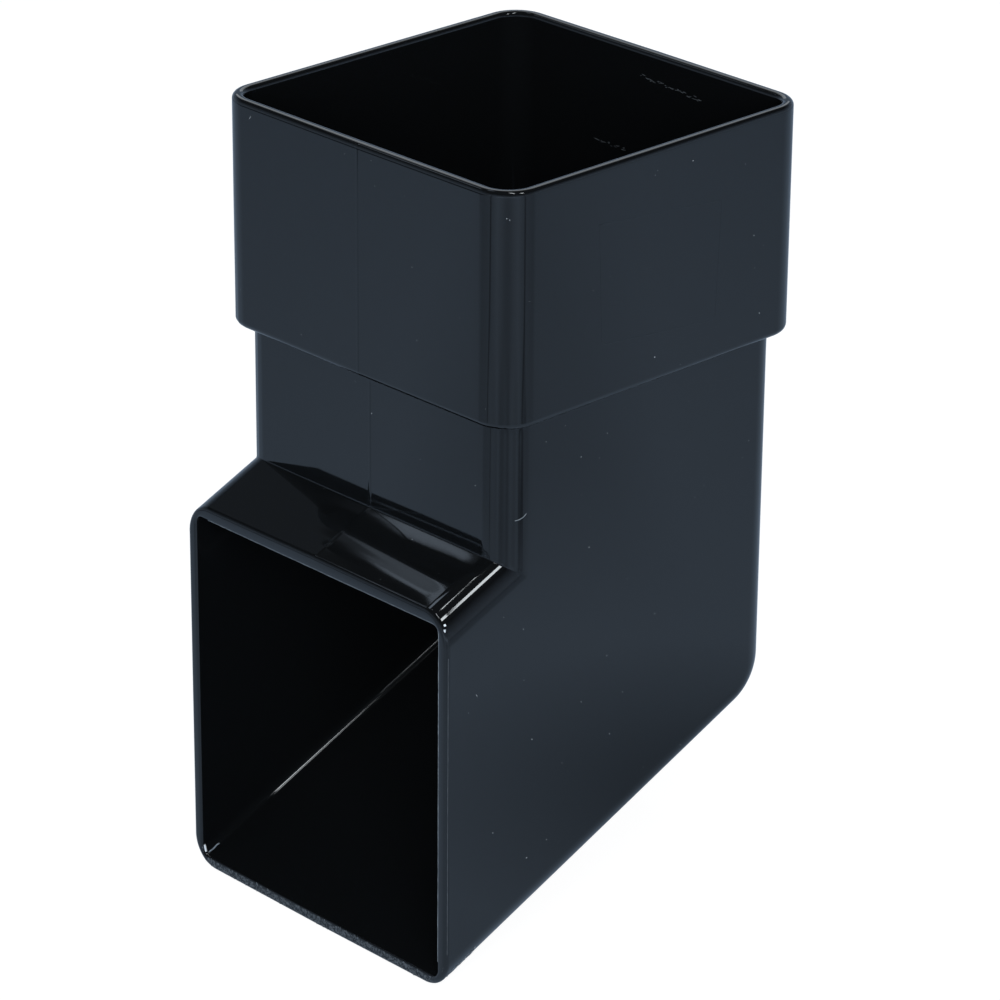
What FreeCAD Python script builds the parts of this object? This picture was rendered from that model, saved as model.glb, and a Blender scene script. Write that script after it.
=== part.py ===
import FreeCAD, Part
import math
import os

# Downpipe shoe for square rainwater pipe: one hollow injection moulding.
# A square socket on top takes the pipe, a short square body of the pipe's own
# size turns the water forward, and an upright mouth throws it clear of the wall.
# The pipe's axis is Z, the pipe stops at z = 0, and the mouth faces -Y.
# The mould opens along X, so front, back and outlet carry draft from x = 0.
# Body and outlet meet in a mitre, so the outlet is the body mirrored in the mitre plane.

# Driving dimensions, in millimetres and degrees
PIPE_WIDTH = 65.0       # outside of the square pipe, and of the shoe's body and outlet
PIPE_CLEARANCE = 0.4    # room on each side of the pipe in its socket
WALL = 2.2              # moulded wall
SOCKET_DEPTH = 38.8     # from the pipe stop up to the rim
THROAT_DROP = 24.4      # from the step under the socket down to the sharp throat
MOUTH_THROW = 12.9      # from the body's front forward to the mouth
FALL_ANGLE = 22.5       # fall of the outlet below the horizontal
DRAFT_ANGLE = 0.3       # draft of each mould half
SOCKET_CORNER = 6.5     # outside radius of the socket's upright corners
BODY_CORNER = 5.5       # outside radius of the long edges of body and outlet
BORE_CORNER = 1.5       # inside radius of the waterway's long edges
HEEL_RADIUS = 10.5      # outside radius of the heel
STEP_EDGE = 1.2         # rounding of the socket's lower edge
RIM_EDGE = 0.9          # rounding of both edges of the rim
MOUTH_EDGE = 0.9        # rounding of the mouth's outer edge
MOUTH_LIP = 0.5         # rounding of the mouth's inner edge

# Sizes that follow
half_body = PIPE_WIDTH / 2
half_bore = half_body - WALL
half_pipe_space = half_body + PIPE_CLEARANCE
half_socket = half_pipe_space + WALL
mouth_reach = half_body + MOUTH_THROW
step_z = -WALL
widest_edge = 0.45 * WALL                                   # two roundings share a wall's end
rim_edge = min(RIM_EDGE, widest_edge)
mouth_edge = min(MOUTH_EDGE, widest_edge)
mouth_lip = min(MOUTH_LIP, widest_edge)
corner_wall = 1.03 * (mouth_edge + mouth_lip)               # least wall at the mouth's corners
diagonal = math.sqrt(2)
bore_corner = max(BORE_CORNER, BODY_CORNER - (diagonal * WALL - corner_wall) / (diagonal - 1))
half_turn = math.radians(90 - FALL_ANGLE) / 2
draft = math.tan(math.radians(DRAFT_ANGLE))
run_out = 3 * (PIPE_WIDTH + THROAT_DROP + MOUTH_THROW)      # ducts drawn this long reach past every end
throat = FreeCAD.Vector(0, -half_body, step_z - THROAT_DROP)
mitre_normal = FreeCAD.Vector(0, math.sin(half_turn), math.cos(half_turn))
NEAR = 1e-4                                                 # places closer than this are the same


def round_edges(shape, radius, wanted):
    """Rounds the edges whose bounding box passes a test."""
    return shape.makeFillet(radius, [edge for edge in shape.Edges if wanted(edge.BoundBox)])


def drafted_plan(half):
    """Plan of one mould half of a square, highest at the parting plane."""
    crown = half * (1 + draft)
    return [(0, -crown), (half, -half), (half, half), (0, crown)]


def upright_prism(plan, low_z, high_z):
    """A prism on a plan outline."""
    points = [FreeCAD.Vector(x, y, low_z) for x, y in plan + plan[:1]]
    return Part.Face(Part.makePolygon(points)).extrude(FreeCAD.Vector(0, 0, high_z - low_z))


def is_corner(box, half):
    """Whether an edge is one of the outermost upright edges of a prism."""
    return box.ZLength > NEAR and abs(box.XMax) > half - NEAR


def on_mitre(box):
    """Whether an edge crosses the duct in the mitre plane."""
    return abs((box.Center - throat).dot(mitre_normal)) < NEAR


def mitred(prism):
    """An upright prism cut off at the mitre plane and joined to its mirror image there."""
    above = Part.makeBox(2 * run_out, 2 * run_out, 2 * run_out, FreeCAD.Vector(-run_out, -run_out, 0))
    above.rotate(FreeCAD.Vector(0, 0, 0), FreeCAD.Vector(1, 0, 0), -math.degrees(half_turn))
    above.translate(throat)
    body = prism.common(above)
    outlet = body.mirror(throat, mitre_normal)
    return body.fuse(outlet).removeSplitter()


def end_square(duct, mouth_y, top_z):
    """Cuts a duct off level at the top and upright at the mouth."""
    box = duct.BoundBox
    corner = FreeCAD.Vector(box.XMin, mouth_y, box.ZMin)
    return duct.common(Part.makeBox(box.XLength, box.YMax - mouth_y, top_z - box.ZMin, corner))


def body_half():
    """One mould half's body and outlet, with a sharp throat, a round heel and a rounded mouth."""
    prism = upright_prism(drafted_plan(half_body), -run_out, run_out)
    prism = round_edges(prism, BODY_CORNER, lambda box: is_corner(box, half_body) and box.YMax < 0)
    half = mitred(prism)
    half = round_edges(half, HEEL_RADIUS, lambda box: on_mitre(box) and box.YMin > 0)
    half = end_square(half, -mouth_reach, step_z)

    def follows_back(box):
        return box.XMin > half_body - NEAR and box.YMax > 0 and box.ZMin < step_z - NEAR

    def rings_mouth(box):
        return box.YMax < NEAR - mouth_reach and box.XMax > NEAR

    half = round_edges(half, BODY_CORNER, follows_back)
    return round_edges(half, mouth_edge, rings_mouth)


def socket_half():
    """One mould half's socket, with rounded corners, lower edge and rim."""
    half = upright_prism(drafted_plan(half_socket), step_z, SOCKET_DEPTH)
    half = round_edges(half, SOCKET_CORNER, lambda box: is_corner(box, half_socket))
    half = round_edges(half, STEP_EDGE, lambda box: box.ZMax < step_z + NEAR and box.XMax > NEAR)
    return round_edges(half, rim_edge, lambda box: box.ZMin > SOCKET_DEPTH - NEAR and box.XMax > NEAR)


def both_halves(half):
    """A mould half's form joined to its mirror image at the parting plane."""
    other = half.mirror(FreeCAD.Vector(0, 0, 0), FreeCAD.Vector(1, 0, 0))
    return half.fuse(other).removeSplitter()


def square_plan(half):
    """Plan of a plain square."""
    return [(-half, -half), (half, -half), (half, half), (-half, half)]


def waterway():
    """The space inside body and outlet, from the pipe stop to past the mouth."""
    past_mouth = -mouth_reach - WALL
    space = mitred(upright_prism(square_plan(half_bore), -run_out, run_out))
    space = round_edges(space, HEEL_RADIUS - WALL, lambda box: on_mitre(box) and box.YMin > 0)
    space = round_edges(space, WALL, lambda box: on_mitre(box) and box.YMax < 0)
    space = end_square(space, past_mouth, 0)

    def runs_along(box):
        on_side = box.XLength < NEAR and abs(box.XMax) > half_bore - NEAR
        return on_side and box.YMax > past_mouth + NEAR and box.ZMin < -NEAR

    return round_edges(space, bore_corner, runs_along)


def pipe_space():
    """The space that the pipe pushes into, from its stop to past the rim."""
    space = upright_prism(square_plan(half_pipe_space), 0, SOCKET_DEPTH + WALL)
    return round_edges(space, SOCKET_CORNER - WALL, lambda box: is_corner(box, half_pipe_space))


def round_opening(solid, on_end, radius):
    """Rounds the inner edge of the flat ring round an opening."""
    ring = next(face for face in solid.Faces if on_end(face.BoundBox))
    inner = next(wire for wire in ring.Wires if not wire.isSame(ring.OuterWire))
    return solid.makeFillet(radius, inner.Edges)


def shoe():
    """The finished moulding."""
    solid = both_halves(body_half()).fuse(both_halves(socket_half()))
    solid = solid.cut(pipe_space()).cut(waterway())
    solid = round_opening(solid, lambda box: box.ZMin > SOCKET_DEPTH - NEAR, rim_edge)
    solid = round_opening(solid, lambda box: box.YMax < NEAR - mouth_reach, mouth_lip)
    return solid.Solids[0]


os.makedirs("parts", exist_ok=True)
moulding = shoe()
moulding.exportStep("parts/downpipe_shoe.step")
print("downpipe_shoe", moulding.isValid(), round(moulding.Volume / 1000, 2), "cm3", moulding.optimalBoundingBox())
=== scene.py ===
import math
from dataclasses import dataclass

import bpy
import numpy as np
from mathutils import Matrix, Vector


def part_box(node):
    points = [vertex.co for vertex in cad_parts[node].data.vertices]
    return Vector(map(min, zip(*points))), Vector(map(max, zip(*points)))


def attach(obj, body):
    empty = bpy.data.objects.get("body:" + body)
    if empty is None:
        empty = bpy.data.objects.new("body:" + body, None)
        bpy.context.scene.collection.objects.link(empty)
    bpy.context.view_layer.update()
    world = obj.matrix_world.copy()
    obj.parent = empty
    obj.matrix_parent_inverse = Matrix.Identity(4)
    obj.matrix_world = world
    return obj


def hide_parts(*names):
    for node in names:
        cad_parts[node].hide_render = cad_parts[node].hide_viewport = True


bl_info = {
    "name": "Downpipe Shoe",
    "version": (1, 0, 0),
    "blender": (4, 5, 0),
    "location": "3D View > Sidebar > Downpipe Shoe",
    "description": "Dresses a moulded downpipe shoe with its mould marks, gloss plastic and dust",
    "category": "Object",
}

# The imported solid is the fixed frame: its box gives the socket, the rim, the mouth and the floor
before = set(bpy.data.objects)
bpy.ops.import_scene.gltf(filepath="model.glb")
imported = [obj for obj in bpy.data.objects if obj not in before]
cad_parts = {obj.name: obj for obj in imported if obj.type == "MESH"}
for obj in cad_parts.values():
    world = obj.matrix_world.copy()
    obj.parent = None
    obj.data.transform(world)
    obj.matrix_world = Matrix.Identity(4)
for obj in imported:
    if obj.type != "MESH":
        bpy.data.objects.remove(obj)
NODE = "downpipe_shoe"
BODY = "root"
LOW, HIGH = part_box(NODE)
MM = 0.001

# How finely the skin is drawn, in steps along each stretch
FLAT_STEPS = 38
CORNER_STEPS = 56
SIDE_STEPS = 36
EDGE_STEPS = 6
SOCKET_STEPS = 30
UPRIGHT_STEPS = 34
TURN_STEPS = 14
SLOPE_STEPS = 40
# Extra rings this close to a rounding keep the flats beside it flat to the eye
CLOSE = 0.1 * MM
CLOSE_SHARE = 0.06
CLOSE_RUN = 0.006

# Waves in the roof: where they rise and die out across it, how far below the throat they begin, how much
# later the second one begins towards the right, between which shares of a wave it takes over, and how much
# deeper it is
ROOF_WAVE_LEFT = -12 * MM
ROOF_WAVE_FULL = 2 * MM
ROOF_WAVE_RIGHT = 24.5 * MM
ROOF_WAVE_END = 27 * MM
ROOF_WAVE_START = 1.2 * MM
SECOND_WAVE_DRIFT = 0.075
SECOND_WAVE_FROM = 0.45
SECOND_WAVE_FULL = 0.95
SECOND_WAVE_MORE = 0.7

# Flutes round each of the body's front corners, and the height on the socket at which they begin
FLUTES = 11
FLUTE_TOP = 20 * MM
# The trim of the mouth's lower rim runs out this many times faster than a quarter turn of its corners
TRIM_FADE = 2.8
# Columns of the mouth's right side, counted from below, along which the burr and its painted highlight are
# ragged
RAGGED_STEPS = 11
# Flats that meet at more than this angle have a sharp edge between them
SHARP_ANGLE = math.radians(40)
UPVC_IOR = 1.53

# Marks that the photograph places, in millimetres: corners (y, z) of the insert's line on the socket's right
# side, runs (x, z) of painted glints at the mouth, of a painted highlight tail inside it and of scuffs and
# painted glints on the socket's inner back wall, and the tick (degrees round the corner, z) on the body
INSERT_CORNERS = ((-14.3, 29.1), (14.3, 26.2), (13.4, 5.2), (-13.3, 8.0))
PAINTED_GLINTS = (((-30.15, -98.0), (-29.8, -99.2)), ((30.3, -33.9), (30.5, -34.3)), ((31.4, -33.4), (31.6, -33.7)),
         ((31.4, -34.3), (31.6, -35.4)))
# Runs (x, z) of a pale bead that paints the end of the inner highlight near the mouth
HIGHLIGHT_TAIL = ((-28.9, -98.9), (-27.8, -97.9), (-26.9, -96.8), (-26.2, -96.2))
TICK = ((62, -19.5), (70, -19.4), (78, -19.1), (84, -18.6))
SCUFF_AND_GLINT_RUNS = (((-13.1, 20.0), (-5.7, 19.7)), ((-2.4, 34.2), (11.9, 33.3)))

# Where the burrs, which also paint highlights, and the torn rim lie on the mouth's roundings, as shares from
# the wall (0) to the rim (1)
LIP_BURR_SHARE = 0.36
EDGE_BURR_SHARE = 0.3
TORN_LIP_SHARE = 0.6
TORN_EDGE_SHARE = 0.88
# How uneven the burrs, the painted glints, the painted highlight tail and the tick are, and the step at which
# their paths are drawn
BURR_UNEVENNESS = 3.0
MARK_UNEVENNESS = 1.2
TRIM_STEP = 0.2 * MM
# The frayed stretch of the mouth's lower right edge: how far it reaches back, and its turn round the corner
FRAY_REACHES = (1.4 * MM, 3 * MM, 5 * MM, 7.5 * MM)
FRAY_FROM = 0.4
FRAY_TO = 1.2

# What is strewn on the skin: density per square metre, size against a large speck, stretch and seed
STREWN = (("dust_specks", 5200.0, 1.0, 1.0, 4), ("lint", 700.0, 0.45, 12.0, 10))
# Flecks of the torn rim: size, stretch and seed
TORN_FLECKS = (0.5 * MM, 1.6, 21)


def linear(hex_colour):
    """Turns an sRGB hex colour into the linear values that Blender stores."""
    channels = [int(hex_colour[i:i + 2], 16) / 255 for i in (1, 3, 5)]
    return tuple(c / 12.92 if c <= 0.04045 else ((c + 0.055) / 1.055) ** 2.4 for c in channels)


def length(name, description, millimetres):
    """A size that a user may change, written in millimetres and kept in metres."""
    return bpy.props.FloatProperty(name=name, description=description, default=millimetres * MM,
                                   unit="LENGTH", precision=5)


def angle(name, description, degrees):
    """An angle that a user may change, written in degrees."""
    return bpy.props.FloatProperty(name=name, description=description, default=math.radians(degrees),
                                   subtype="ANGLE")


def colour(name, description, hex_colour):
    """A colour that a user may change."""
    return bpy.props.FloatVectorProperty(name=name, description=description, default=linear(hex_colour),
                                         subtype="COLOR", size=3, min=0.0, max=1.0)


class ShoeSizes(bpy.types.PropertyGroup):
    """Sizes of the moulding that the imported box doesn't give."""
    wall: length("Wall", "Moulded wall", 2.2)
    clearance: length("Clearance", "Room on each side of the pipe in its socket", 0.4)
    throat_drop: length("Throat drop", "From the step under the socket to the sharp throat", 24.4)
    fall: angle("Fall", "Fall of the outlet below the horizontal", 22.5)
    draft: angle("Draft", "Draft of each mould half", 0.3)
    socket_corner: length("Socket corner", "Outside radius of the socket's upright corners", 6.5)
    body_corner: length("Body corner", "Outside radius of the long edges of body and outlet", 5.5)
    heel: length("Heel", "Outside radius of the heel", 10.5)
    throat: length("Throat", "Outside radius of the sharp throat", 0.2)
    bore_corner: length("Bore corner", "Inside radius of the waterway's long edges", 1.5)
    step_edge: length("Step edge", "Rounding of the socket's lower edge", 1.2)
    rim_edge: length("Rim edge", "Rounding of both edges of the rim", 0.9)
    mouth_edge: length("Mouth edge", "Rounding of the mouth's outer edge", 0.9)
    mouth_lip: length("Mouth lip", "Rounding of the mouth's inner edge", 0.5)
    seam_width: length("Seam width", "Width of the parting line's ridge", 0.5)
    seam_height: length("Seam height", "Height of the parting line's ridge", 0.04)
    flute_depth: length("Flute depth", "Depth of the tool marks along the body's corners", 0.06)
    sink_depth: length("Sink depth", "Depth of the shallow sinks in the walls", 0.012)
    sink_size: length("Sink size", "Width of the shallow sinks in the walls", 22.0)
    roof_sink: length("Roof sink", "Depth of the waves that the roof shrank into", 0.02)
    roof_wave: length("Roof wave", "Length of those waves along the slope", 6.5)
    insert_bead: length("Insert bead", "Width of the line round the mould's insert", 0.3)
    trim: length("Trim", "How far the mouth's lower rim was cut back", 0.12)
    # The burr bead also paints the highlight along the mouth's lip
    burr: length("Burr", "Width of the trimmed burr along the mouth's inner lip", 0.22)
    speck: length("Speck", "Width of a large dust speck", 0.26)


class ShoeColours(bpy.types.PropertyGroup):
    """Colours of the moulding and of its stage."""
    plastic: colour("Plastic", "Black uPVC", "#0b0c0d")
    # Also the colour of the painted highlight along the mouth's lip and of the painted highlight tail inside
    # it
    burr: colour("Burr", "uPVC whitened where it was trimmed", "#7d8286")
    # A painted glint colour: the pale beads at the mouth's corners paint the glints there
    curl: colour("Curl", "uPVC curled up and whitened at the mouth's corners", "#dfe2e4")
    # Also paints glints on the socket's inner back wall and a highlight along the mouth's outer edge
    scuff: colour("Scuff", "uPVC greyed where the pipe rubbed", "#4a4d50")
    dust: colour("Dust", "Dust and lint", "#b9bcbe")
    paper: colour("Paper", "Studio paper as reflections show it", "#b5c5d8")


class Form:
    """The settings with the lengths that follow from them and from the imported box, in metres."""

    def __init__(self, sizes):
        for name in ShoeSizes.__annotations__:
            setattr(self, name, getattr(sizes, name))
        self.half_socket = HIGH.x
        self.half_pipe_space = self.half_socket - self.wall
        self.half_body = self.half_pipe_space - self.clearance
        self.rim_z = HIGH.z
        self.mouth_y = LOW.y
        self.step_z = -self.wall
        self.turn = math.pi / 2 - self.fall
        self.heel_drop = self.throat_drop + 2 * self.half_body * math.tan(self.turn / 2)
        self.slant = math.tan(self.draft)


def outline_point(form, side, inset, throat, stretch, share, top_z, end_y):
    """A place (y, z) on the side view's outline, moved inward by inset.

    Side -1 runs down the front, round the throat and along the roof, side 1 down the back, round
    the heel and along the floor.
    """
    drop = form.throat_drop if side < 0 else form.heel_drop
    radius = throat if side < 0 else form.heel - inset
    reach = radius * math.tan(form.turn / 2)
    corner_y = side * (form.half_body - inset)
    corner_z = form.step_z - drop + side * inset * math.tan(form.turn / 2)
    if stretch == "upright":
        return corner_y, top_z + (corner_z + reach - top_z) * share
    if stretch == "turn":
        turned = form.turn * share
        return corner_y - radius * (1 - math.cos(turned)), corner_z + reach - radius * math.sin(turned)
    start_y = corner_y - reach * math.cos(form.fall)
    start_z = corner_z - reach * math.sin(form.fall)
    run = (start_y - end_y) * share
    return start_y - run, start_z - run * math.tan(form.fall)


@dataclass
class Ring:
    """One closed loop of skin: a rounded rectangle whose front and back follow two lines."""
    half_width: float
    corner: float
    front: object
    back: object
    region: str
    skin: float
    along: str
    end_y: float = 0.0
    rounding: tuple = None

    def rounded(self, column, fall):
        """How far a rounding at the ring's end moves the skin inward here, and where it ends in y."""
        if self.rounding is None:
            return 0.0, self.end_y
        radius, share, sign = self.rounding
        kind, side, _, value, _ = column
        lean = {"wall": 0.0, "flat": 1.0, "corner": math.cos(value)}[kind]
        turn = math.acos(-side * sign * math.sin(fall) * lean)
        more = sign * radius * (1 - math.cos(turn * share))
        return more, self.end_y + radius * (1 - math.cos(turn * (1 - share)))

    def place(self, column, form):
        """Where a column of the skin crosses this ring."""
        kind, side, hand, value, offset = column
        more, end_y = self.rounded(column, form.fall)
        flat = self.half_width - self.corner
        line = self.front if side < 0 else self.back
        lean = 0.0 if self.region == "inside" else form.slant
        if kind == "wall":
            start = self.front(self.corner, end_y)
            end = self.back(self.corner, end_y)
            return (hand * (self.half_width - more), start[0] + (end[0] - start[0]) * value,
                    start[1] + (end[1] - start[1]) * value)
        if kind == "flat":
            x = value * flat + offset
            return (x, *line(more - lean * (self.half_width - abs(x)), end_y))
        reach = flat + (self.corner - more) * math.sin(value)
        inset = self.corner - (self.corner - more) * math.cos(value) - lean * (self.half_width - reach)
        return (hand * reach, *line(inset, end_y))


def skin_columns(form):
    """The columns round every ring: front, right side, back and left side, with a corner between each."""
    ridge = form.seam_width / 2
    shares = [2 * i / FLAT_STEPS - 1 for i in range(1, FLAT_STEPS)]
    across = [(share, 0.0) for share in shares if share < -1e-6]
    across += [(0.0, -2 * ridge), (0.0, -ridge), (0.0, 0.0), (0.0, ridge), (0.0, 2 * ridge)]
    across += [(share, 0.0) for share in shares if share > 1e-6]
    arc = [math.pi / 2 * i / CORNER_STEPS for i in range(CORNER_STEPS + 1)]
    down = [i / SIDE_STEPS for i in range(1, SIDE_STEPS)]
    columns = []
    for side, hand, run in ((-1, 1, down), (1, -1, down[::-1])):
        columns += [("flat", side, 0, hand * share, hand * offset) for share, offset in across]
        columns += [("corner", side, hand, turned, 0.0) for turned in arc]
        columns += [("wall", 0, hand, share, 0.0) for share in run]
        columns += [("corner", -side, hand, turned, 0.0) for turned in reversed(arc)]
    return columns


def duct_ring(form, stretch, share, top_z, end_y, region, skin, rounding=None):
    """A ring of the body or outlet, outside or inside."""
    inside = region == "inside"
    inset = form.wall if inside else 0.0
    corner = form.bore_corner if inside else form.body_corner

    def front(more, y):
        throat = inset + more if inside else form.throat
        return outline_point(form, -1, inset + more, throat, stretch, share, top_z, y)

    def back(more, y):
        return outline_point(form, 1, inset + more, 0.0, stretch, share, top_z, y)

    return Ring(form.half_body - inset, corner, front, back, region, skin, stretch, end_y, rounding)


def lip_ring(form, share):
    """A ring of the rounding at the mouth's inner lip, from the waterway (0) to the rim (1)."""
    return duct_ring(form, "slope", 1.0, 0.0, form.mouth_y, "inside", 0.0, (form.mouth_lip, share, -1))


def edge_ring(form, share):
    """A ring of the rounding at the mouth's outer edge, from the outlet's outside (0) to the rim (1)."""
    skin = min(1.0, 1 - share)
    return duct_ring(form, "slope", 1.0, 0.0, form.mouth_y, "body", skin, (form.mouth_edge, share, 1))


def socket_ring(half_width, corner, z, region, skin):
    """A level ring of the socket."""
    return Ring(half_width, corner, lambda more, y: (more - half_width, z),
                lambda more, y: (half_width - more, z), region, skin, "level")


def skin_rings(form):
    """The whole skin as rings: up the inside from the mouth, over the rim and down the outside."""
    round_shares = [i / EDGE_STEPS for i in range(EDGE_STEPS + 1)]
    quarter = [math.pi / 2 * i / EDGE_STEPS for i in range(EDGE_STEPS + 1)]

    # Mouth's inner lip, then up the waterway to the pipe stop
    rings = [lip_ring(form, share) for share in (*reversed(round_shares), -CLOSE_SHARE)]
    lip_y = form.mouth_y + 2 * form.mouth_lip
    stretches = (("slope", SLOPE_STEPS // 2), ("turn", TURN_STEPS), ("upright", UPRIGHT_STEPS // 2))
    for stretch, steps in stretches:
        for i in reversed(range(steps)):
            rings.append(duct_ring(form, stretch, i / steps, 0.0, lip_y, "inside", 0.0))

    # Pipe stop, socket wall and rim
    inner_corner = form.socket_corner - form.wall
    inner_top = form.rim_z - form.rim_edge
    levels = [inner_top * i / SOCKET_STEPS for i in range(SOCKET_STEPS)]
    for z in (*levels, inner_top - CLOSE, inner_top):
        rings.append(socket_ring(form.half_pipe_space, inner_corner, z, "inside", 0.0))
    for turned in quarter[1:]:
        out = form.rim_edge * (1 - math.cos(turned))
        z = inner_top + form.rim_edge * math.sin(turned)
        rings.append(socket_ring(form.half_pipe_space + out, inner_corner + out, z, "inside", 0.0))

    def outside(back_in, z, skin):
        rings.append(socket_ring(
            form.half_socket - back_in, form.socket_corner - back_in, z, "socket", skin))

    for turned in quarter:
        z = form.rim_z - form.rim_edge * (1 - math.cos(turned))
        outside(form.rim_edge * (1 - math.sin(turned)), z, math.sin(turned))

    # Down the socket's outside, round its lower edge and under the step
    step_top = form.step_z + form.step_edge
    levels = [inner_top + (step_top - inner_top) * i / SOCKET_STEPS for i in range(1, SOCKET_STEPS)]
    for z in (inner_top - CLOSE, *levels, step_top + CLOSE, step_top):
        outside(0.0, z, 1.0)
    for turned in quarter[1:]:
        z = step_top - form.step_edge * math.sin(turned)
        outside(form.step_edge * (1 - math.cos(turned)), z, math.cos(turned))

    # Down the body, through throat and heel, along the outlet and round the mouth's outer edge
    edge_y = form.mouth_y + 2 * form.mouth_edge
    stretches = (
        ("upright", [i / UPRIGHT_STEPS for i in range(UPRIGHT_STEPS)] + [1 - CLOSE_RUN]),
        ("turn", [i / TURN_STEPS for i in range(TURN_STEPS)]),
        ("slope", [0.0, CLOSE_RUN] + [i / SLOPE_STEPS for i in range(1, SLOPE_STEPS)]))
    for stretch, shares in stretches:
        for share in shares:
            skin = min(1.0, share * UPRIGHT_STEPS / 2) if stretch == "upright" else 1.0
            rings.append(duct_ring(form, stretch, share, form.step_z, edge_y, "body", skin))
    rings += [edge_ring(form, share) for share in (-CLOSE_SHARE, *round_shares)]
    return rings


def smooth_step(value, start, end):
    """Rises smoothly from 0 at start to 1 at end."""
    share = min(1.0, max(0.0, (value - start) / (end - start)))
    return share * share * (3 - 2 * share)


def roof_wave(form, x, y):
    """How far the roof sank here: waves down the slope that die out towards both sides."""
    along = (-form.half_body - y) / math.cos(form.fall)
    second = smooth_step(along, SECOND_WAVE_FROM * form.roof_wave, SECOND_WAVE_FULL * form.roof_wave)
    start = ROOF_WAVE_START + SECOND_WAVE_DRIFT * second * max(0.0, x - ROOF_WAVE_FULL)
    wave = math.sin(2 * math.pi * (along - start) / form.roof_wave)
    depth = form.roof_sink * (1 + SECOND_WAVE_MORE * second)
    across = smooth_step(x, ROOF_WAVE_LEFT, ROOF_WAVE_FULL) * smooth_step(x, ROOF_WAVE_END, ROOF_WAVE_RIGHT)
    return depth * wave * across


def relief_at(form, ring, column, place):
    """How far the mould's marks raise the skin here, in metres."""
    kind, side, _, value, offset = column
    raised = -form.seam_height
    if kind == "flat" and value == 0.0 and abs(offset) < form.seam_width / 4:
        raised += form.seam_height
    if ring.along == "slope" and kind == "flat" and side < 0:
        raised -= roof_wave(form, place[0], place[1])
    if kind == "corner" and side < 0 and ring.along in ("upright", "level"):
        fluted = smooth_step(place[2], FLUTE_TOP, form.step_z)
        raised -= form.flute_depth * fluted * math.sin(2 * value) * math.sin(FLUTES * value) ** 2
    if ring.rounding is not None and side > 0:
        lower = max(0.0, math.cos(TRIM_FADE * value)) if kind == "corner" else 1.0
        return raised * ring.skin - form.trim * lower * max(0.0, ring.rounding[1])
    return raised * ring.skin


def loop_mesh(name, points, attributes):
    """A closed skin from rings of points, closed round each ring and from the last ring to the first."""
    ring_count, column_count = points.shape[:2]
    index = np.arange(ring_count * column_count).reshape(ring_count, column_count)
    after = np.roll(index, -1, axis=0)
    quads = np.stack([index, after, np.roll(after, -1, axis=1), np.roll(index, -1, axis=1)], axis=-1)
    mesh = bpy.data.meshes.new(name)
    mesh.from_pydata(points.reshape(-1, 3).tolist(), [], quads.reshape(-1, 4).tolist())
    for attribute_name, values in attributes.items():
        attribute = mesh.attributes.new(attribute_name, "FLOAT", "POINT")
        attribute.data.foreach_set("value", values.reshape(-1).astype(np.float32))
    mesh.update()
    return mesh


def add(tree, kind, inputs=None, **settings):
    """Adds a node, sets its settings, and sets or links its inputs. A node stands for its first output."""
    node = tree.nodes.new(kind)
    for name, value in settings.items():
        setattr(node, name, value)
    for key, value in (inputs or {}).items():
        if isinstance(value, bpy.types.Node):
            value = value.outputs[0]
        if isinstance(value, bpy.types.NodeSocket):
            tree.links.new(value, node.inputs[key])
        else:
            node.inputs[key].default_value = value
    return node


def shape_tree(name, *sizes, **others):
    """A Geometry Nodes tree with its named inputs: a geometry, sizes, others with their type, a material."""
    tree = bpy.data.node_groups.new(name, "GeometryNodeTree")
    sockets = {"Geometry": "NodeSocketGeometry", **dict.fromkeys(sizes, "NodeSocketFloat"), **others,
               "Material": "NodeSocketMaterial"}
    for socket_name, socket_type in sockets.items():
        tree.interface.new_socket(socket_name, in_out="INPUT", socket_type=socket_type)
    tree.interface.new_socket("Geometry", in_out="OUTPUT", socket_type="NodeSocketGeometry")
    return tree, add(tree, "NodeGroupInput").outputs


def end_tree(tree, given, made):
    """Ends a tree: what it made becomes plain mesh in the given material."""
    real = add(tree, "GeometryNodeRealizeInstances", {"Geometry": made})
    painted = add(tree, "GeometryNodeSetMaterial", {"Geometry": real, "Material": given["Material"]})
    add(tree, "NodeGroupOutput", {"Geometry": painted})
    return tree


def grow(name, source, tree, values):
    """Runs a tree on a mesh and keeps what it makes as a plain mesh object."""
    piece = bpy.data.objects.new(name, source)
    bpy.context.scene.collection.objects.link(piece)
    modifier = piece.modifiers.new(tree.name, "NODES")
    modifier.node_group = tree
    for item in tree.interface.items_tree:
        if item.in_out == "INPUT" and item.name in values:
            modifier[item.identifier] = values[item.name]
    evaluated = piece.evaluated_get(bpy.context.evaluated_depsgraph_get())
    grown = bpy.data.meshes.new_from_object(evaluated)
    piece.modifiers.remove(modifier)
    piece.data = grown
    grown.name = name
    return piece


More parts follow.
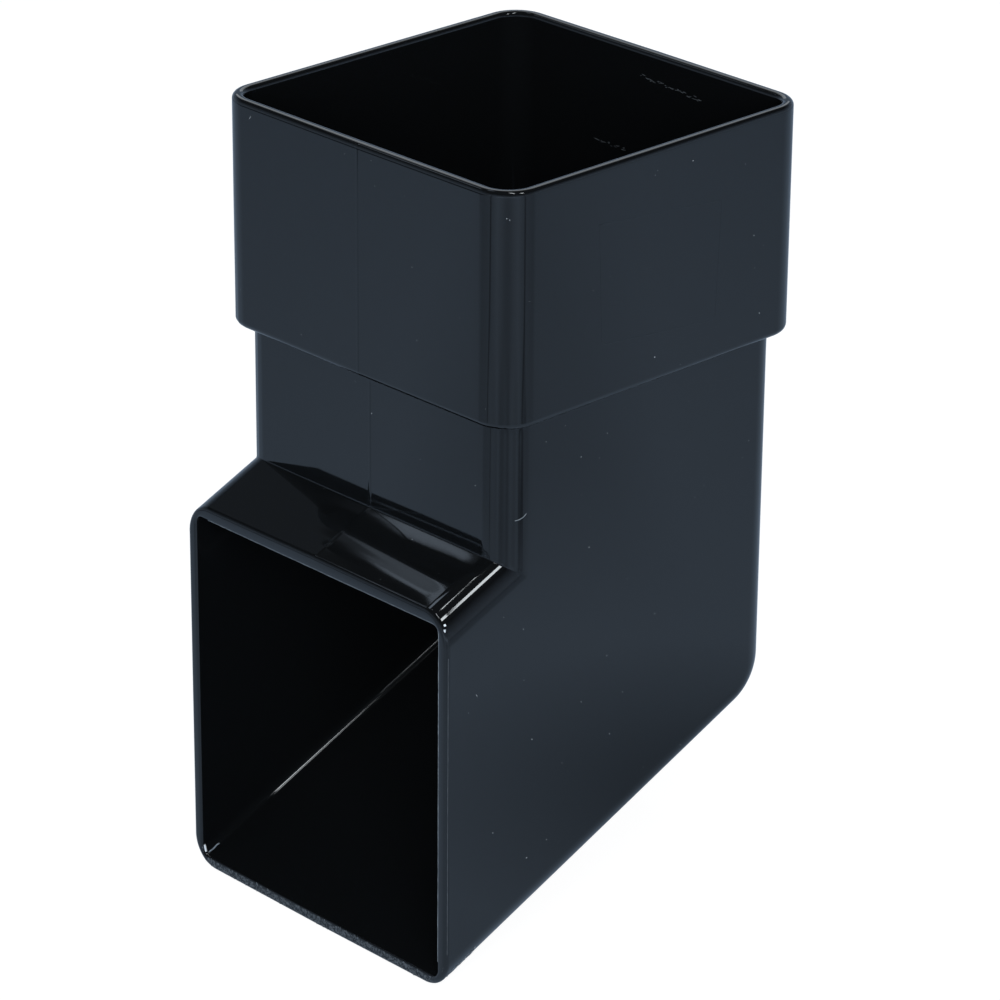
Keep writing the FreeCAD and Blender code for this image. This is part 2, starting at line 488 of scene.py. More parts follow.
def moulded_surface():
    """Moves the drawn skin to the moulded one: the mould's marks, and shallow sinks as the plastic shrank."""
    tree, given = shape_tree("moulded_surface", "Sink depth", "Sink size")
    relief = add(tree, "GeometryNodeInputNamedAttribute", {"Name": "relief"}, data_type="FLOAT")
    skin = add(tree, "GeometryNodeInputNamedAttribute", {"Name": "skin"}, data_type="FLOAT")
    rate = add(tree, "ShaderNodeMath", {0: 1.0, 1: given["Sink size"]}, operation="DIVIDE")
    noise = add(tree, "ShaderNodeTexNoise", {"Scale": rate, "Detail": 1.0, "Roughness": 0.4})
    sink = add(tree, "ShaderNodeMath", {0: noise, 1: given["Sink depth"]}, operation="MULTIPLY")
    outer_sink = add(tree, "ShaderNodeMath", {0: sink, 1: skin}, operation="MULTIPLY")
    raised = add(tree, "ShaderNodeMath", {0: relief, 1: outer_sink}, operation="SUBTRACT")
    normal = add(tree, "GeometryNodeInputNormal")
    offset = add(tree, "ShaderNodeVectorMath", {0: normal, "Scale": raised}, operation="SCALE")
    moved = add(tree, "GeometryNodeSetPosition", {"Geometry": given["Geometry"], "Offset": offset})
    return end_tree(tree, given, moved)


def blank_material(name):
    """A material with an empty node tree."""
    material = bpy.data.materials.new(name)
    material.use_nodes = True
    material.node_tree.nodes.clear()
    return material, material.node_tree


# Moulded uPVC from a polished mould: deep black with mirror-like gloss, and a haze that comes and goes
# over a few millimetres
def gloss_upvc(colours):
    """The shoe's own plastic."""
    material, tree = blank_material("gloss_black_upvc")
    place = add(tree, "ShaderNodeTexCoord").outputs["Object"]
    haze = add(tree, "ShaderNodeTexNoise", {"Vector": place, "Scale": 1 / (9 * MM), "Detail": 4.0})
    roughness = add(tree, "ShaderNodeMapRange", {"Value": haze, "To Min": 0.03, "To Max": 0.07})
    shader = add(tree, "ShaderNodeBsdfPrincipled", {
        "Base Color": (*colours.plastic, 1.0), "IOR": UPVC_IOR, "Roughness": roughness})
    add(tree, "ShaderNodeOutputMaterial", {"Surface": shader})
    return material


class SHOE_OT_moulding(bpy.types.Operator):
    """Builds the moulding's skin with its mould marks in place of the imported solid."""
    bl_idname = "shoe.moulding"
    bl_label = "Moulding"

    def execute(self, context):
        form = Form(context.scene.shoe_sizes)
        rings = skin_rings(form)
        columns = skin_columns(form)
        points = np.array([[ring.place(column, form) for column in columns] for ring in rings])
        relief = np.array([[relief_at(form, ring, column, point) for column, point in zip(columns, row)]
                           for ring, row in zip(rings, points)])
        skin = np.array([[ring.skin for column in columns] for ring in rings])
        drawn = loop_mesh("drawn_skin", points, {"relief": relief, "skin": skin})
        piece = grow("moulding", drawn, moulded_surface(), {
            "Sink depth": form.sink_depth, "Sink size": form.sink_size,
            "Material": gloss_upvc(context.scene.shoe_colours)})
        piece.data.shade_smooth()
        piece.data.set_sharp_from_angle(angle=SHARP_ANGLE)
        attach(piece, BODY)
        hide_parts(NODE)
        return {"FINISHED"}


# Cut and rubbed uPVC, and dust: the broken surface scatters light, so it looks pale and matt, mottled over a
# millimetre. The same pale matt surfaces also paint glints and highlights at the mouth and in the socket
def matt_material(name, shade, roughness):
    """A matt surface of one colour, mottled so that it doesn't read as paint."""
    material, tree = blank_material(name)
    place = add(tree, "ShaderNodeTexCoord").outputs["Object"]
    mottle = add(tree, "ShaderNodeTexNoise", {"Vector": place, "Scale": 1 / (1.1 * MM), "Detail": 2.0})
    lift = add(tree, "ShaderNodeMapRange", {"Value": mottle, "To Min": 0.15, "To Max": 1.6})
    tone = add(tree, "ShaderNodeVectorMath", {0: shade, "Scale": lift}, operation="SCALE")
    shader = add(tree, "ShaderNodeBsdfPrincipled", {
        "Base Color": tone, "IOR": UPVC_IOR, "Roughness": roughness})
    add(tree, "ShaderNodeOutputMaterial", {"Surface": shader})
    return material


def bead_tree():
    """A bead along a drawn path, its width and run made uneven."""
    tree, given = shape_tree("bead", "Width", "Unevenness", "Wander", "Step")
    path = add(tree, "GeometryNodeMeshToCurve", {"Mesh": given["Geometry"]})
    stepped = add(tree, "GeometryNodeResampleCurve", {"Curve": path, "Length": given["Step"]}, mode="LENGTH")
    noise = add(tree, "ShaderNodeTexNoise", {"Scale": 1 / (2.3 * MM), "Detail": 4.0})
    drift = add(tree, "ShaderNodeVectorMath", {0: noise.outputs["Color"], 1: (0.5, 0.5, 0.5)},
                operation="SUBTRACT")
    wander = add(tree, "ShaderNodeVectorMath", {0: drift, "Scale": given["Wander"]}, operation="SCALE")
    moved = add(tree, "GeometryNodeSetPosition", {"Geometry": stepped, "Offset": wander})
    swing = add(tree, "ShaderNodeMath", {0: noise, 1: 0.5}, operation="SUBTRACT")
    vary = add(tree, "ShaderNodeMath", {0: swing, 1: given["Unevenness"], 2: 1.0}, operation="MULTIPLY_ADD")
    radius = add(tree, "ShaderNodeMath", {0: vary, 1: 0.05}, operation="MAXIMUM")
    sized = add(tree, "GeometryNodeSetCurveRadius", {"Curve": moved, "Radius": radius})
    half = add(tree, "ShaderNodeMath", {0: given["Width"], 1: 0.5}, operation="MULTIPLY")
    profile = add(tree, "GeometryNodeCurvePrimitiveCircle", {"Resolution": 6, "Radius": half})
    bead = add(tree, "GeometryNodeCurveToMesh", {"Curve": sized, "Profile Curve": profile})
    return end_tree(tree, given, bead)


def path_mesh(name, runs):
    """Drawn paths as a mesh of edges: each run is a list of places and whether it closes."""
    points = []
    edges = []
    for places, closed in runs:
        first = len(points)
        points += [tuple(place) for place in places]
        edges += [(first + i, first + i + 1) for i in range(len(places) - 1)]
        if closed:
            edges.append((len(points) - 1, first))
    mesh = bpy.data.meshes.new(name)
    mesh.from_pydata(points, edges, [])
    return mesh


def lay_bead(name, runs, material, width, unevenness, wander, step):
    """Lays a bead along drawn runs of places."""
    tree = bpy.data.node_groups.get("bead") or bead_tree()
    return grow(name, path_mesh(name + "_path", runs), tree, {
        "Width": width, "Unevenness": unevenness, "Wander": wander, "Step": step, "Material": material})


def keep(piece):
    """Fixes a finished piece to the shoe."""
    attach(piece, BODY)


class SHOE_OT_insert_outline(bpy.types.Operator):
    """Draws the fine line that the mould's insert left on the socket's right side."""
    bl_idname = "shoe.insert_outline"
    bl_label = "Insert outline"

    def execute(self, context):
        form = Form(context.scene.shoe_sizes)
        sunk = form.seam_height + 0.4 * form.insert_bead
        places = [(HIGH.x - sunk, y * MM, z * MM) for y, z in INSERT_CORNERS]
        plastic = bpy.data.materials["gloss_black_upvc"]
        piece = lay_bead("insert_outline", [(places, True)], plastic, form.insert_bead,
                         0.2, 0.02 * MM, 0.8 * MM)
        piece.data.shade_smooth()
        keep(piece)
        return {"FINISHED"}


class SHOE_OT_mouth_burr_and_highlight(bpy.types.Operator):
    """Lays the trimmed, whitened burr along the mouth's inner lip and a finer one along its outer edge; both
    also paint the highlights of these edges.
    """
    bl_idname = "shoe.mouth_burr"
    bl_label = "Mouth burr"

    def execute(self, context):
        form = Form(context.scene.shoe_sizes)
        columns = skin_columns(form)
        top = [column for column in columns if column[0] == "flat" and column[1] < 0]
        turn = [column for column in columns if column[0] == "corner" and column[1] < 0 and column[2] > 0]
        right = [column for column in columns if column[0] == "wall" and column[2] > 0]
        lip = [lip_ring(form, LIP_BURR_SHARE).place(column, form) for column in top + turn + right]
        edge = [edge_ring(form, EDGE_BURR_SHARE).place(column, form) for column in right]
        foremost = form.mouth_y + 1.05 * form.burr
        inner = [(x, max(y, foremost), z) for x, y, z in lip]
        outer = [(x - 0.3 * form.burr, y, z) for x, y, z in edge]
        ragged = [(x, y + 1.5 * form.burr, z) for x, y, z in inner[-RAGGED_STEPS:]]
        # The burrs also paint the highlights that the mouth's lip and outer edge show
        trimmed = matt_material("trimmed_upvc", context.scene.shoe_colours.burr, 0.45)
        scuffed = matt_material("scuffed_upvc", context.scene.shoe_colours.scuff, 0.5)
        burrs = (
            ("mouth_burr", inner, trimmed, form.burr, 0.1 * MM),
            ("edge_burr", outer, scuffed, 0.5 * form.burr, 0.05 * MM),
            ("ragged_burr", ragged, trimmed, 1.7 * form.burr, 0.4 * MM))
        for name, places, material, width, wander in burrs:
            keep(lay_bead(name, [(places, False)], material, width, BURR_UNEVENNESS, wander, TRIM_STEP))
        return {"FINISHED"}


class SHOE_OT_highlights_and_tick(bpy.types.Operator):
    """Adds painted glints at the mouth's corners, a painted highlight tail inside the mouth, and a pale tick
    on the body's corner.
    """
    bl_idname = "shoe.trim_marks"
    bl_label = "Trim marks"

    def execute(self, context):
        form = Form(context.scene.shoe_sizes)
        highlight_y = form.mouth_y + 0.5 * MM
        glint_runs = [([(x * MM, highlight_y, z * MM) for x, z in run], False) for run in PAINTED_GLINTS]
        centre = form.half_body - form.body_corner
        radius = form.body_corner - form.seam_height
        tick = [(centre + radius * math.sin(turned), -centre - radius * math.cos(turned), z * MM)
                for turned, z in ((math.radians(degrees), z) for degrees, z in TICK)]
        tail = [(x * MM, highlight_y, z * MM) for x, z in HIGHLIGHT_TAIL]
        # Pale matt beads paint the glints at the mouth's corners
        glinting = matt_material("curled_upvc", context.scene.shoe_colours.curl, 0.3)
        # This pale matt paints the highlight tail inside the mouth, and colours the tick
        trimmed = bpy.data.materials["trimmed_upvc"]
        marks = (
            ("trim_curls", glint_runs, glinting, 0.42 * MM, 0.1 * MM),
            ("mould_tick", [(tick, False)], trimmed, 0.13 * MM, 0.04 * MM),
            ("curl_tail", [(tail, False)], trimmed, 0.26 * MM, 0.04 * MM))
        for name, runs, material, width, wander in marks:
            keep(lay_bead(name, runs, material, width, MARK_UNEVENNESS, wander, TRIM_STEP))
        return {"FINISHED"}


def strewn_tree():
    """Small flat flecks strewn over a mesh where its skin attribute is high, lying along the surface."""
    tree, given = shape_tree("strewn", "Density", "Size", "Stretch", Seed="NodeSocketInt")
    skin = add(tree, "GeometryNodeInputNamedAttribute", {"Name": "skin"}, data_type="FLOAT")
    outside = add(tree, "FunctionNodeCompare", {0: skin, 1: 0.9}, operation="GREATER_THAN")
    spread = add(tree, "GeometryNodeDistributePointsOnFaces", {
        "Mesh": given["Geometry"], "Selection": outside,
        "Density": given["Density"], "Seed": given["Seed"]})
    fleck = add(tree, "GeometryNodeMeshIcoSphere", {"Radius": 0.5, "Subdivisions": 1})
    spin = add(tree, "FunctionNodeRandomValue", {
        0: (0.0, 0.0, 0.0), 1: (0.0, 0.0, 2 * math.pi), "Seed": 3}, data_type="FLOAT_VECTOR")
    turned = add(tree, "FunctionNodeRotateEuler", {
        "Rotation": spread.outputs["Rotation"], "Rotate By": spin}, space="LOCAL")
    chance = add(tree, "FunctionNodeRandomValue", {2: 0.0, 3: 1.0, "Seed": 5}, data_type="FLOAT")
    rare = add(tree, "ShaderNodeMath", {0: chance.outputs[1], 1: 3.0}, operation="POWER")
    share = add(tree, "ShaderNodeMapRange", {"Value": rare, "To Min": 0.3, "To Max": 1.0})
    size = add(tree, "ShaderNodeMath", {0: share, 1: given["Size"]}, operation="MULTIPLY")
    long = add(tree, "ShaderNodeMath", {0: size, 1: given["Stretch"]}, operation="MULTIPLY")
    thin = add(tree, "ShaderNodeMath", {0: size, 1: 0.25}, operation="MULTIPLY")
    scale = add(tree, "ShaderNodeCombineXYZ", {0: long, 1: size, 2: thin})
    flecks = add(tree, "GeometryNodeInstanceOnPoints", {
        "Points": spread, "Instance": fleck,
        "Rotation": turned, "Scale": scale})
    return end_tree(tree, given, flecks)


def band_mesh(name, rows):
    """A strip of skin from rows of places, marked as outside so that flecks can lie on it."""
    count = len(rows[0])
    quads = [(first + i, first + i + 1, first + count + i + 1, first + count + i)
             for first in range(0, count * (len(rows) - 1), count) for i in range(count - 1)]
    band = bpy.data.meshes.new(name)
    band.from_pydata([place for row in rows for place in row], [], quads)
    attribute = band.attributes.new("skin", "FLOAT", "POINT")
    attribute.data.foreach_set("value", [1.0] * (count * len(rows)))
    return band


def strew(name, mesh, material, density, size, stretch, seed):
    """Strews flecks over a mesh."""
    tree = bpy.data.node_groups.get("strewn") or strewn_tree()
    return grow(name, mesh, tree, {
        "Density": density, "Size": size, "Stretch": stretch, "Seed": seed, "Material": material})


class SHOE_OT_torn_rim(bpy.types.Operator):
    """Roughens the mouth's lower rim and its lower right edge with the flecks that cutting left."""
    bl_idname = "shoe.torn_rim"
    bl_label = "Torn rim"

    def execute(self, context):
        form = Form(context.scene.shoe_sizes)
        lower = [column for column in skin_columns(form) if column[1] > 0 and column[0] != "wall"]
        edge = [column for column in lower
                if column[0] == "corner" and column[2] > 0 and FRAY_FROM < column[3] < FRAY_TO]
        sides = (edge_ring(form, TORN_EDGE_SHARE), lip_ring(form, TORN_LIP_SHARE))
        sunk = Vector((0.0, 0.5 * form.trim, 0.0))
        rim = [[Vector(ring.place(column, form)) + sunk for column in lower] for ring in sides]
        ends = [duct_ring(form, "slope", 1.0, 0.0, form.mouth_y + reach, "body", 0.0)
                for reach in FRAY_REACHES]
        fray = [[ring.place(column, form) for column in edge] for ring in ends]
        torn = (("torn_rim", rim, "scuffed_upvc", 12e6), ("torn_edge", fray, "trimmed_upvc", 5e6))
        for name, rows, material, density in torn:
            band = band_mesh(name + "_band", rows)
            keep(strew(name, band, bpy.data.materials[material], density, *TORN_FLECKS))
        return {"FINISHED"}


class SHOE_OT_dust(bpy.types.Operator):
    """Strews dust specks and short lint over the outside."""
    bl_idname = "shoe.dust"
    bl_label = "Dust"

    def execute(self, context):
        speck = context.scene.shoe_sizes.speck
        skin = bpy.data.objects["moulding"].data
        dust = matt_material("dust", context.scene.shoe_colours.dust, 0.9)
        for name, density, size, stretch, seed in STREWN:
            keep(strew(name, skin.copy(), dust, density, size * speck, stretch, seed))
        return {"FINISHED"}


def rubbed_tree():
    """Fine scratches, which also paint glints, in a row along a drawn path, lying across it at small angles.
    """
    tree, given = shape_tree("rubbed", "Step", "Spread", "Size")
    path = add(tree, "GeometryNodeMeshToCurve", {"Mesh": given["Geometry"]})
    points = add(tree, "GeometryNodeCurveToPoints", {"Curve": path, "Length": given["Step"]}, mode="LENGTH")
    drift = add(tree, "FunctionNodeRandomValue", {0: (-1.0, 0.0, -1.0), 1: (1.0, 0.0, 1.0), "Seed": 11},
                data_type="FLOAT_VECTOR")
    shift = add(tree, "ShaderNodeVectorMath", {0: drift, "Scale": given["Spread"]}, operation="SCALE")
    moved = add(tree, "GeometryNodeSetPosition", {"Geometry": points, "Offset": shift})
    mark = add(tree, "GeometryNodeMeshIcoSphere", {"Radius": 0.5, "Subdivisions": 1})
    size = add(tree, "FunctionNodeRandomValue", {0: (0.4, 0.05, 0.1), 1: (2.2, 0.05, 0.3), "Seed": 13},
               data_type="FLOAT_VECTOR")
    scale = add(tree, "ShaderNodeVectorMath", {0: size, "Scale": given["Size"]}, operation="SCALE")
    lean = add(tree, "FunctionNodeRandomValue", {0: (0.0, -0.25, 0.0), 1: (0.0, 0.25, 0.0), "Seed": 17},
               data_type="FLOAT_VECTOR")
    marks = add(tree, "GeometryNodeInstanceOnPoints", {
        "Points": moved, "Instance": mark, "Rotation": lean,
        "Scale": scale})
    return end_tree(tree, given, marks)


class SHOE_OT_socket_scuffs_and_glints(bpy.types.Operator):
    """Marks where a pipe rubbed the socket's inner back wall, with painted glints there too."""
    bl_idname = "shoe.socket_scuffs"
    bl_label = "Socket scuffs"

    def execute(self, context):
        form = Form(context.scene.shoe_sizes)
        runs = [([(x * MM, form.half_pipe_space, z * MM) for x, z in run], False) for run in SCUFF_AND_GLINT_RUNS]
        keep(grow("socket_scuffs", path_mesh("scuff_paths", runs), rubbed_tree(), {
            "Step": 0.45 * MM, "Spread": 0.3 * MM, "Size": 0.6 * MM,
            "Material": bpy.data.materials["scuffed_upvc"]}))
        return {"FINISHED"}


# The studio: a pale paper sweep under soft light, in a dark room with a few cards and lamps
AIM = Vector((0.673, -2.779, -34.008)) * MM
CAMERA_AZIMUTH = math.radians(45.887)
CAMERA_ELEVATION = math.radians(23.967)
CAMERA_ROLL = math.radians(0.495)
CAMERA_DISTANCE = 0.80715
LENS_MM = 168.246
SENSOR_MM = 36.0
# Tones of the paper round the shoe, from behind it (0) to the camera's side (1): painted shade that darkens
# it in lobes to either side of the camera
PAPER_TONES = ((0.44, 0.93), (0.47, 0.94), (0.5, 0.97), (0.54, 1.0), (0.575, 0.84), (0.67, 0.66), (0.78, 0.7),
               (0.832, 0.72), (0.852, 0.2), (0.872, 0.7), (0.95, 0.88), (0.985, 0.7), (1.0, 0.52))
SWEEP_SEGMENTS = 96
SWEEP_PROFILE = ((0.5, 0.0), (0.95, 0.0), (1.1, 0.02), (1.22, 0.08), (1.3, 0.2), (1.34, 0.4), (1.36, 0.8),
                 (1.38, 1.5))
# The paper's own light, in metres from the shoe: painted shade darkens it up to a height, a painted glow
# lights it where it climbs, and painted shade makes a dark gap ahead and to the left that ends further out
PAPER_CLIMB = (LOW.z, LOW.z + 1.25)
WALL_GLOW = 0.42
WALL_FOOT = (0.95, 1.25)
GAP_AHEAD = (-0.31, -0.35)
GAP_LEFT = (-0.19, -0.25)
GAP_END = (0.75, 0.95)
GAP_TONE = 0.1
BEYOND_TONE = 0.7
# Near the shoe the paper is plain, and darker at one spot beside the heel: a painted shadow of the heel
PLAIN_REACH = (0.14, 0.22)
SHADE_REACH = (0.02, 0.065)
SHADE_TONE = 0.55
LAMP_DISTANCE = 1.2
DAYLIGHT = (0.9, 0.96, 1.0)
CARD_TINT = (0.68, 0.82, 1.0)
ROOF = Vector((0.0, -38.5, -29.1)) * MM
FRONT_Y = -33.8 * MM
SHADE_SPOT = Vector((50 * MM, 45 * MM, LOW.z))

# Each lamp: azimuth and elevation in degrees, width and height in metres, radiance, and whether the
# plastic mirrors it. The fills stand for the soft light of the room.
LAMPS = {
    "top_fill": (20, 78, 0.9, 0.9, 1.8, False),
    "front_fill": (46, 26, 0.8, 0.8, 7.3, False),
    "edge_lamp": (102, 59, 0.13, 0.16, 15.0, True),
    "bore_strip": (74, 76, 0.07, 0.42, 14.0, True),
    "rim_card": (-134, 35, 0.7, 0.5, 1.0, True),
}

# Cards that the roof mirrors, round the direction in which it looks: start and end across and up, in
# degrees, radiance, and whether the roof sees it by way of the upright front above it
ROOF_LOOK = Vector((-0.665, 0.142, 0.73)).normalized()
ROOF_RIGHT = Vector((0.683, -0.278, 0.676)).normalized()
ROOF_CARDS = {
    "dim_card": (-9.0, -0.75, -2.1, 3.0, 0.11, False),
    "lobe_card": (0.55, 3.0, 0.5, 4.0, 0.2, False),
    "seam_card": (11.5, 20.0, -6.0, 1.0, 2.2, False),
    "faint_card": (-3.5, -0.3, 1.0, 4.0, 0.13, True),
    "patch_card": (0.8, 5.0, 1.0, 4.5, 1.25, True),
    "wedge_card": (0.7, 5.0, -0.55, 1.0, 2.7, True),
}


def heading(azimuth, elevation):
    """The direction seen at an azimuth, turned from the mouth's side towards +X, and an elevation."""
    return Vector((math.sin(azimuth) * math.cos(elevation), -math.cos(azimuth) * math.cos(elevation),
                   math.sin(elevation)))


def standing(place, right, up, back):
    """A world matrix from a place and three axes."""
    return Matrix.Translation(place) @ Matrix((right, up, back)).transposed().to_4x4()


def white_to_camera(tree, own, white):
    """Mixes a surface's own shader with a white one that only the camera sees, also through glass."""
    path = add(tree, "ShaderNodeLightPath")
    seen = add(tree, "ShaderNodeMath", {
        0: path.outputs["Is Camera Ray"], 1: path.outputs["Is Transmission Ray"]}, operation="MAXIMUM")
    return add(tree, "ShaderNodeMixShader", {0: seen, 1: own, 2: white})


def span(limits):
    """The inputs between which a map range node works."""
    return {"From Min": limits[0], "From Max": limits[1]}


# Matt studio paper: pale and even to the camera, while the plastic mirrors its bluish tint with painted
# shade, a painted shadow and a painted glow
def studio_paper(colours):
    """Pale matt paper that the camera sees as white, darker where it climbs up round the studio."""
    material, tree = blank_material("studio_paper")
    place = add(tree, "ShaderNodeTexCoord").outputs["Object"]
    x, y, z = add(tree, "ShaderNodeSeparateXYZ", {0: place}).outputs
    climb = add(tree, "ShaderNodeMapRange", {"Value": z, **span(PAPER_CLIMB), "To Min": 1.0, "To Max": 0.03})
    flat = add(tree, "ShaderNodeVectorMath", {0: place, 1: (1.0, 1.0, 0.0)}, operation="MULTIPLY")
    spoke = add(tree, "ShaderNodeVectorMath", {0: flat}, operation="NORMALIZE")
    ahead = add(tree, "ShaderNodeVectorMath", {0: spoke, 1: heading(CAMERA_AZIMUTH, 0.0)},
                operation="DOT_PRODUCT")
    share = add(tree, "ShaderNodeMapRange", {
        "Value": ahead.outputs["Value"], "From Min": -1.0, "From Max": 1.0})
    lobes = add(tree, "ShaderNodeValToRGB", {"Fac": share})
    stops = lobes.color_ramp.elements
    stops.remove(stops[1])
    stops[0].position = 0.3
    stops[0].color = (1.0, 1.0, 1.0, 1.0)
    for position, tone in PAPER_TONES:
        stops.new(position).color = (tone, tone, tone, 1.0)
    reach = add(tree, "ShaderNodeVectorMath", {0: flat}, operation="LENGTH").outputs["Value"]
    far = add(tree, "ShaderNodeMapRange", {"Value": reach, **span(PLAIN_REACH)})
    # A painted shadow of the heel at one spot beside it
    beside = add(tree, "ShaderNodeVectorMath", {0: place, 1: SHADE_SPOT}, operation="DISTANCE")
    near = add(tree, "ShaderNodeMapRange", {
        "Value": beside.outputs["Value"], **span(SHADE_REACH),
        "To Min": SHADE_TONE, "To Max": 1.0})
    tones = add(tree, "ShaderNodeMix", {0: far, 6: near, 7: lobes}, data_type="RGBA")
    ahead_gap = add(tree, "ShaderNodeMapRange", {"Value": y, **span(GAP_AHEAD)})
    left_gap = add(tree, "ShaderNodeMapRange", {"Value": x, **span(GAP_LEFT)})
    gap = add(tree, "ShaderNodeMath", {0: ahead_gap, 1: left_gap}, operation="MULTIPLY")
    edge = add(tree, "ShaderNodeMapRange", {"Value": gap, "To Min": 1.0, "To Max": GAP_TONE})
    beyond = add(tree, "ShaderNodeMapRange", {
        "Value": reach, **span(GAP_END),
        "To Min": GAP_TONE, "To Max": BEYOND_TONE})
    lit = add(tree, "ShaderNodeMath", {0: edge, 1: beyond}, operation="MAXIMUM")
    fade = add(tree, "ShaderNodeMath", {0: climb, 1: lit}, operation="MULTIPLY")
    tint = add(tree, "ShaderNodeVectorMath", {0: tones.outputs[2], 1: colours.paper}, operation="MULTIPLY")
    tone = add(tree, "ShaderNodeVectorMath", {0: tint, "Scale": fade}, operation="SCALE")
    # A painted glow low on the climbing paper, which the camera doesn't see
    rise = add(tree, "ShaderNodeMapRange", {"Value": reach, **span(WALL_FOOT)})
    through = add(tree, "ShaderNodeMapRange", {
        "Value": z, **span(PAPER_CLIMB),
        "To Min": WALL_GLOW, "To Max": 0.0})
    behind = add(tree, "ShaderNodeMath", {0: rise, 1: through}, operation="MULTIPLY")
    backlight = add(tree, "ShaderNodeEmission", {"Color": (*colours.paper, 1.0), "Strength": behind})
    matt = add(tree, "ShaderNodeBsdfDiffuse", {"Color": tone})
    sheet = add(tree, "ShaderNodeAddShader", {0: matt, 1: backlight})
    shade = add(tree, "ShaderNodeBsdfDiffuse", {"Color": (0.12, 0.12, 0.12, 1.0)})
    glow = add(tree, "ShaderNodeEmission", {"Color": (1.0, 1.0, 1.0, 1.0), "Strength": 0.95})
    white = add(tree, "ShaderNodeAddShader", {0: shade, 1: glow})
    add(tree, "ShaderNodeOutputMaterial", {"Surface": white_to_camera(tree, sheet, white)})
    # The glow is faint and wide, so rays find it by themselves
    material.cycles.emission_sampling = "NONE"
    return material


def dark_room():
    """A room that the camera sees as white and reflections see as dark."""
    world = bpy.data.worlds.new("dark_room")
    world.use_nodes = True
    tree = world.node_tree
    tree.nodes.clear()
    room = add(tree, "ShaderNodeBackground", {"Color": (0.8, 0.9, 1.0, 1.0), "Strength": 0.03})
    white = add(tree, "ShaderNodeBackground", {"Color": (1.0, 1.0, 1.0, 1.0), "Strength": 1.0})
    add(tree, "ShaderNodeOutputWorld", {"Surface": white_to_camera(tree, room, white)})
    return world


def paper_sweep(colours):
    """A round sheet of paper that lies flat under the shoe and climbs up all round the studio."""
    turns = [2 * math.pi * i / SWEEP_SEGMENTS for i in range(SWEEP_SEGMENTS)]
    points = [(r * math.cos(t), r * math.sin(t), LOW.z + h) for r, h in SWEEP_PROFILE for t in turns]
    centre = len(points)
    points.append((0.0, 0.0, LOW.z))
    faces = []
    for i in range(SWEEP_SEGMENTS):
        j = (i + 1) % SWEEP_SEGMENTS
        faces.append((centre, i, j))
        for row in range(len(SWEEP_PROFILE) - 1):
            inner = row * SWEEP_SEGMENTS
            outer = inner + SWEEP_SEGMENTS
            faces.append((inner + i, outer + i, outer + j, inner + j))
    mesh = bpy.data.meshes.new("paper_sweep")
    mesh.from_pydata(points, [], faces)
    mesh.shade_smooth()
    mesh.materials.append(studio_paper(colours))
    return bpy.data.objects.new("paper_sweep", mesh)


def flat_light(name, width, height, radiance, tint):
    """A flat lamp or card of one radiance all over."""
    data = bpy.data.lights.new(name, "AREA")
    data.shape = "RECTANGLE"
    data.size = width
    data.size_y = height
    data.energy = radiance * math.pi * width * height
    data.color = tint
    return bpy.data.objects.new(name, data)


def studio_lamp(name, azimuth, elevation, width, height, radiance, mirrored):
    """A lamp that faces the shoe."""
    lamp = flat_light(name, width, height, radiance, DAYLIGHT)
    back = heading(math.radians(azimuth), math.radians(elevation))
    right = Vector((math.cos(math.radians(azimuth)), math.sin(math.radians(azimuth)), 0.0))
    lamp.matrix_world = standing(AIM + back * LAMP_DISTANCE, right, back.cross(right), back)
    lamp.visible_glossy = mirrored
    return lamp


def roof_card(name, left, right, low, high, radiance, mirrored):
    """A card placed by the angles at which the roof mirrors it."""
    flip = Vector((1.0, -1.0 if mirrored else 1.0, 1.0))
    look = ROOF_LOOK * flip
    across = (ROOF_RIGHT - ROOF_LOOK * ROOF_RIGHT.dot(ROOF_LOOK)).normalized()
    up = across.cross(ROOF_LOOK) * flip
    across = across * flip
    start = Vector((ROOF.x, 2 * FRONT_Y - ROOF.y if mirrored else ROOF.y, ROOF.z))
    middle = across * math.radians((left + right) / 2) + up * math.radians((low + high) / 2)
    width = math.radians(right - left) * LAMP_DISTANCE
    height = math.radians(high - low) * LAMP_DISTANCE
    card = flat_light(name, width, height, radiance, CARD_TINT)
    card.matrix_world = standing(start + (look + middle) * LAMP_DISTANCE, up.cross(look), up, look)
    return card


def photo_camera():
    """A camera that stands as the photograph's did."""
    back = heading(CAMERA_AZIMUTH, CAMERA_ELEVATION)
    level = Vector((math.cos(CAMERA_AZIMUTH), math.sin(CAMERA_AZIMUTH), 0.0))
    upright = back.cross(level)
    right = level * math.cos(CAMERA_ROLL) + upright * math.sin(CAMERA_ROLL)
    up = upright * math.cos(CAMERA_ROLL) - level * math.sin(CAMERA_ROLL)
    data = bpy.data.cameras.new("camera")
    data.lens = LENS_MM
    data.sensor_width = SENSOR_MM
    camera = bpy.data.objects.new("camera", data)
    camera.matrix_world = standing(AIM + back * CAMERA_DISTANCE, right, up, back)
    return camera


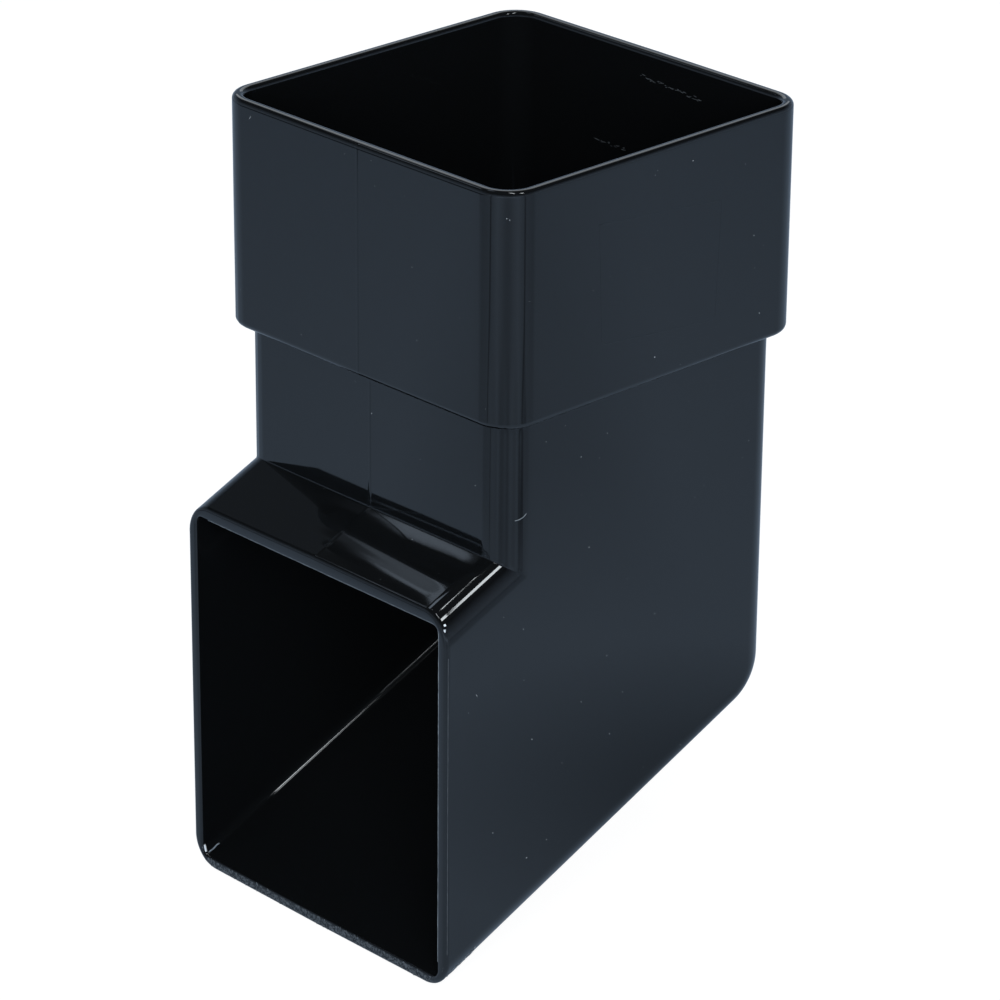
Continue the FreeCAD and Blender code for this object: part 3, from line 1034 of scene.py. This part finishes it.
class SHOE_OT_stage(bpy.types.Operator):
    """Sets up the paper sweep, the lamps, the dark room and the camera."""
    bl_idname = "shoe.stage"
    bl_label = "Stage"

    def execute(self, context):
        scene = context.scene
        sweep = paper_sweep(scene.shoe_colours)
        camera = photo_camera()
        lamps = [studio_lamp(name, *settings) for name, settings in LAMPS.items()]
        lamps += [roof_card(name, *settings) for name, settings in ROOF_CARDS.items()]
        for thing in (sweep, camera, *lamps):
            scene.collection.objects.link(thing)
        scene.camera = camera
        scene.world = dark_room()
        scene.view_settings.view_transform = "Standard"
        return {"FINISHED"}


class SHOE_PT_panel(bpy.types.Panel):
    """Lists the shoe's pieces and settings."""
    bl_label = "Downpipe Shoe"
    bl_idname = "SHOE_PT_panel"
    bl_space_type = "VIEW_3D"
    bl_region_type = "UI"
    bl_category = "Downpipe Shoe"

    def draw(self, context):
        for operator in OPERATORS:
            self.layout.operator(operator.bl_idname)
        settings = ((ShoeSizes, context.scene.shoe_sizes), (ShoeColours, context.scene.shoe_colours))
        for kind, group in settings:
            box = self.layout.box()
            for name in kind.__annotations__:
                box.prop(group, name)


OPERATORS = (
    SHOE_OT_moulding, SHOE_OT_insert_outline, SHOE_OT_mouth_burr_and_highlight, SHOE_OT_highlights_and_tick,
    SHOE_OT_torn_rim, SHOE_OT_dust, SHOE_OT_socket_scuffs_and_glints, SHOE_OT_stage)
CLASSES = (ShoeSizes, ShoeColours, *OPERATORS, SHOE_PT_panel)


def register():
    for cls in CLASSES:
        bpy.utils.register_class(cls)
    bpy.types.Scene.shoe_sizes = bpy.props.PointerProperty(type=ShoeSizes)
    bpy.types.Scene.shoe_colours = bpy.props.PointerProperty(type=ShoeColours)


def unregister():
    del bpy.types.Scene.shoe_colours
    del bpy.types.Scene.shoe_sizes
    for cls in reversed(CLASSES):
        bpy.utils.unregister_class(cls)


def main():
    """Builds the shoe and its stage."""
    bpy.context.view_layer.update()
    register()
    bpy.ops.shoe.moulding()
    bpy.ops.shoe.insert_outline()
    bpy.ops.shoe.mouth_burr()
    bpy.ops.shoe.trim_marks()
    bpy.ops.shoe.torn_rim()
    bpy.ops.shoe.dust()
    bpy.ops.shoe.socket_scuffs()
    bpy.ops.shoe.stage()


if __name__ == "__main__":
    main()
